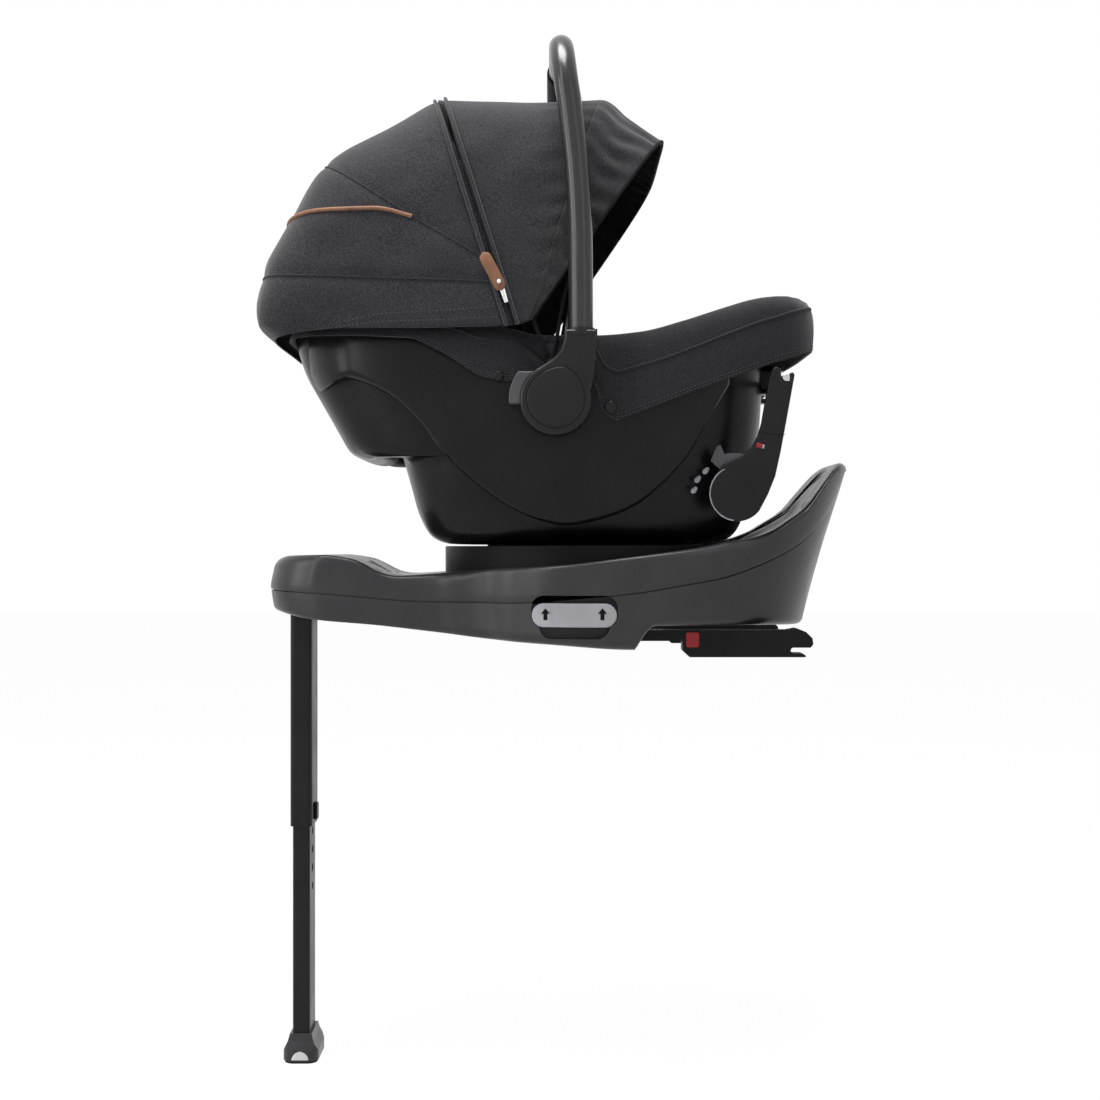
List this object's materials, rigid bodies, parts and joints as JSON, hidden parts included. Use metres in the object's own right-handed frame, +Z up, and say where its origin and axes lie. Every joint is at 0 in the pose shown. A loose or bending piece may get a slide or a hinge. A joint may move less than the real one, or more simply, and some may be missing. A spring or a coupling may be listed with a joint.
{
  "type": "infant car seat",
  "caption": "Rear-facing infant carrier with folding canopy, swinging handle and harness, docked on a swivelling base with anchor arms and a telescopic load leg.",
  "frame": {"origin": "midway between the two anchor-bar jaws, on the line of the anchor bars", "axes": "+X towards the vehicle seat back, +Z up, +Y to the left; the part is symmetric about Y = 0"},
  "size_m": [0.685, 0.458, 1.1759],
  "materials": {
    "base_plastic": "fine satin grain",
    "shell_plastic": "satin",
    "arm_plastic": "matte",
    "hub_plastic": "satin",
    "handle_plastic": "soft satin",
    "lever_plastic": "matte",
    "snap_plastic": "gloss",
    "silver_plastic": "satin silver",
    "red_plastic": "gloss",
    "acetal": "smooth",
    "steel": "brushed",
    "leg_metal": "satin black coat",
    "rubber": "matte",
    "canopy_fabric": "woven, dark navy black",
    "visor_fabric": "heathered",
    "cover_fabric": "woven",
    "liner_fabric": "soft knit",
    "insert_fabric": "soft knit",
    "webbing": "woven webbing"
  },
  "bodies": {
    "base": {"base_lower_shell": "base_plastic", "base_upper_shell": "base_plastic", "bearing_ring": "acetal", "leg_hinge_pin": "steel", "base_screws": "steel"},
    "release_left": {"release_plate_left": "silver_plastic"},
    "release_right": {"release_plate_right": "silver_plastic"},
    "swivel_button": {"swivel_button": "silver_plastic"},
    "anchor_left": {"anchor_arm_left": "arm_plastic"},
    "anchor_right": {"anchor_arm_right": "arm_plastic"},
    "anchor_button_left": {"anchor_button_left": "red_plastic"},
    "anchor_button_right": {"anchor_button_right": "red_plastic"},
    "pawl_left": {"anchor_pawl_left": "steel"},
    "pawl_right": {"anchor_pawl_right": "steel"},
    "leg_upper": {"leg_upper_tube": "leg_metal"},
    "leg_button": {"leg_button": "arm_plastic"},
    "leg_lower": {"leg_lower_tube": "leg_metal", "leg_foot": "base_plastic", "foot_sole": "rubber", "foot_window": "silver_plastic"},
    "turntable": {"turntable": "base_plastic"},
    "hooks": {"table_hooks": "steel"},
    "carrier": {"carrier_shell": "shell_plastic", "side_wing_left": "shell_plastic", "side_wing_right": "shell_plastic", "latch_bars": "steel", "shell_screws": "steel", "hub_mount_left": "hub_plastic", "hub_mount_right": "hub_plastic", "seat_liner": "liner_fabric", "seat_cover": "cover_fabric", "infant_insert": "insert_fabric", "shoulder_straps": "webbing", "shoulder_pads": "liner_fabric", "lap_straps": "webbing", "buckle": "hub_plastic", "buckle_tongues": "steel", "crotch_pad": "liner_fabric", "cover_snaps": "snap_plastic", "canopy_bow_rear": "snap_plastic", "canopy_rear_panel": "canopy_fabric"},
    "recline": {"recline_arms": "lever_plastic"},
    "recline_bar": {"recline_bar": "steel"},
    "headrest": {"head_rest": "hub_plastic", "head_pad": "liner_fabric"},
    "buckle_button": {"buckle_button": "red_plastic"},
    "harness_button": {"harness_button": "lever_plastic"},
    "handle": {"handle_tube": "handle_plastic", "handle_grip": "rubber", "handle_hub_left": "handle_plastic", "handle_hub_right": "handle_plastic", "hub_cap_left": "hub_plastic", "hub_cap_right": "hub_plastic"},
    "handle_button_left": {"handle_button_left": "lever_plastic"},
    "handle_button_right": {"handle_button_right": "lever_plastic"},
    "canopy_front": {"canopy_bow_front": "snap_plastic", "canopy_top_panel": "canopy_fabric", "canopy_visor": "visor_fabric"},
    "canopy_middle": {"canopy_bow_middle": "snap_plastic", "canopy_zip_panel": "canopy_fabric"}
  },
  "joints": [
    {"name": "release_left_lift", "type": "slide", "parent": "base", "child": "release_left", "axis": [0, 0, 1], "range_m": [0, 0.008], "stiffness_N_per_m": 300},
    {"name": "release_right_lift", "type": "slide", "parent": "base", "child": "release_right", "axis": [0, 0, 1], "range_m": [0, 0.008], "stiffness_N_per_m": 300},
    {"name": "swivel_press", "type": "slide", "parent": "base", "child": "swivel_button", "axis": [-0.5, 0, -0.866], "range_m": [0, 0.004], "stiffness_N_per_m": 300},
    {"name": "anchor_left_slide", "type": "slide", "parent": "base", "child": "anchor_left", "axis": [-1, 0, 0], "range_m": [0, 0.04]},
    {"name": "anchor_right_slide", "type": "slide", "parent": "base", "child": "anchor_right", "axis": [-1, 0, 0], "range_m": [0, 0.04]},
    {"name": "anchor_left_press", "type": "slide", "parent": "anchor_left", "child": "anchor_button_left", "axis": [0, -1, 0], "range_m": [0, 0.003], "stiffness_N_per_m": 300},
    {"name": "anchor_right_press", "type": "slide", "parent": "anchor_right", "child": "anchor_button_right", "axis": [0, 1, 0], "range_m": [0, 0.003], "stiffness_N_per_m": 300},
    {"name": "pawl_left_turn", "type": "hinge", "parent": "anchor_left", "child": "pawl_left", "pos_m": [0.012, 0.14, 0.012], "axis": [0, -1, 0], "range_deg": [0, 50], "stiffness_Nm_per_rad": 0.01},
    {"name": "pawl_right_turn", "type": "hinge", "parent": "anchor_right", "child": "pawl_right", "pos_m": [0.012, -0.14, 0.012], "axis": [0, -1, 0], "range_deg": [0, 50], "stiffness_Nm_per_rad": 0.01},
    {"name": "leg_fold", "type": "hinge", "parent": "base", "child": "leg_upper", "pos_m": [-0.565, 0, 0.05], "axis": [0, -1, 0], "range_deg": [0, 80]},
    {"name": "leg_press", "type": "slide", "parent": "leg_upper", "child": "leg_button", "axis": [-1, 0, 0], "range_m": [0, 0.0025], "stiffness_N_per_m": 300},
    {"name": "leg_slide", "type": "slide", "parent": "leg_upper", "child": "leg_lower", "axis": [0, 0, -1], "range_m": [-0.11, 0.09]},
    {"name": "base_swivel", "type": "hinge", "parent": "base", "child": "turntable", "pos_m": [-0.218, 0, 0.083], "axis": [0, 0, 1], "range_deg": [-90, 90]},
    {"name": "hooks_slide", "type": "slide", "parent": "turntable", "child": "hooks", "axis": [1, 0, 0], "range_m": [0, 0.012], "stiffness_N_per_m": 200},
    {"name": "carrier_lift", "type": "slide", "parent": "turntable", "child": "carrier", "axis": [0, 0, 1], "range_m": [0, 0.12]},
    {"name": "recline_swing", "type": "hinge", "parent": "carrier", "child": "recline", "pos_m": [-0.063, 0, 0.174], "axis": [0, -1, 0], "range_deg": [0, 57]},
    {"name": "recline_pull", "type": "slide", "parent": "carrier", "child": "recline_bar", "axis": [0, 0, 1], "range_m": [0, 0.012], "stiffness_N_per_m": 300},
    {"name": "headrest_slide", "type": "slide", "parent": "carrier", "child": "headrest", "axis": [-0.8164, 0, 0.5774], "range_m": [-0.01, 0.05]},
    {"name": "buckle_press", "type": "slide", "parent": "carrier", "child": "buckle_button", "axis": [-0.5774, 0, -0.8164], "range_m": [0, 0.003], "stiffness_N_per_m": 300},
    {"name": "harness_press", "type": "slide", "parent": "carrier", "child": "harness_button", "axis": [0.9511, 0, -0.309], "range_m": [0, 0.004], "stiffness_N_per_m": 300},
    {"name": "handle_swing", "type": "hinge", "parent": "carrier", "child": "handle", "pos_m": [-0.264, 0, 0.272], "axis": [0, 1, 0], "range_deg": [-95, 60]},
    {"name": "handle_left_press", "type": "slide", "parent": "handle", "child": "handle_button_left", "axis": [1, 0, 0], "range_m": [0, 0.004], "stiffness_N_per_m": 300},
    {"name": "handle_right_press", "type": "slide", "parent": "handle", "child": "handle_button_right", "axis": [1, 0, 0], "range_m": [0, 0.004], "stiffness_N_per_m": 300},
    {"name": "canopy_fold", "type": "hinge", "parent": "canopy_middle", "child": "canopy_front", "pos_m": [-0.268, 0, 0.311], "axis": [0, -1, 0], "range_deg": [0, 24], "deforming": ["canopy_top_panel", "canopy_visor", "canopy_zip_panel"]},
    {"name": "canopy_middle_fold", "type": "hinge", "parent": "carrier", "child": "canopy_middle", "pos_m": [-0.268, 0, 0.311], "axis": [0, -1, 0], "range_deg": [0, 20], "deforming": ["canopy_zip_panel", "canopy_rear_panel", "canopy_top_panel"]}
  ],
  "couplings": [
    {"joint": "canopy_middle_fold", "follows": "canopy_fold", "ratio": 0.8},
    {"joint": "release_right_lift", "follows": "release_left_lift", "ratio": 1},
    {"joint": "hooks_slide", "follows": "release_left_lift", "ratio": 1.5}
  ]
}
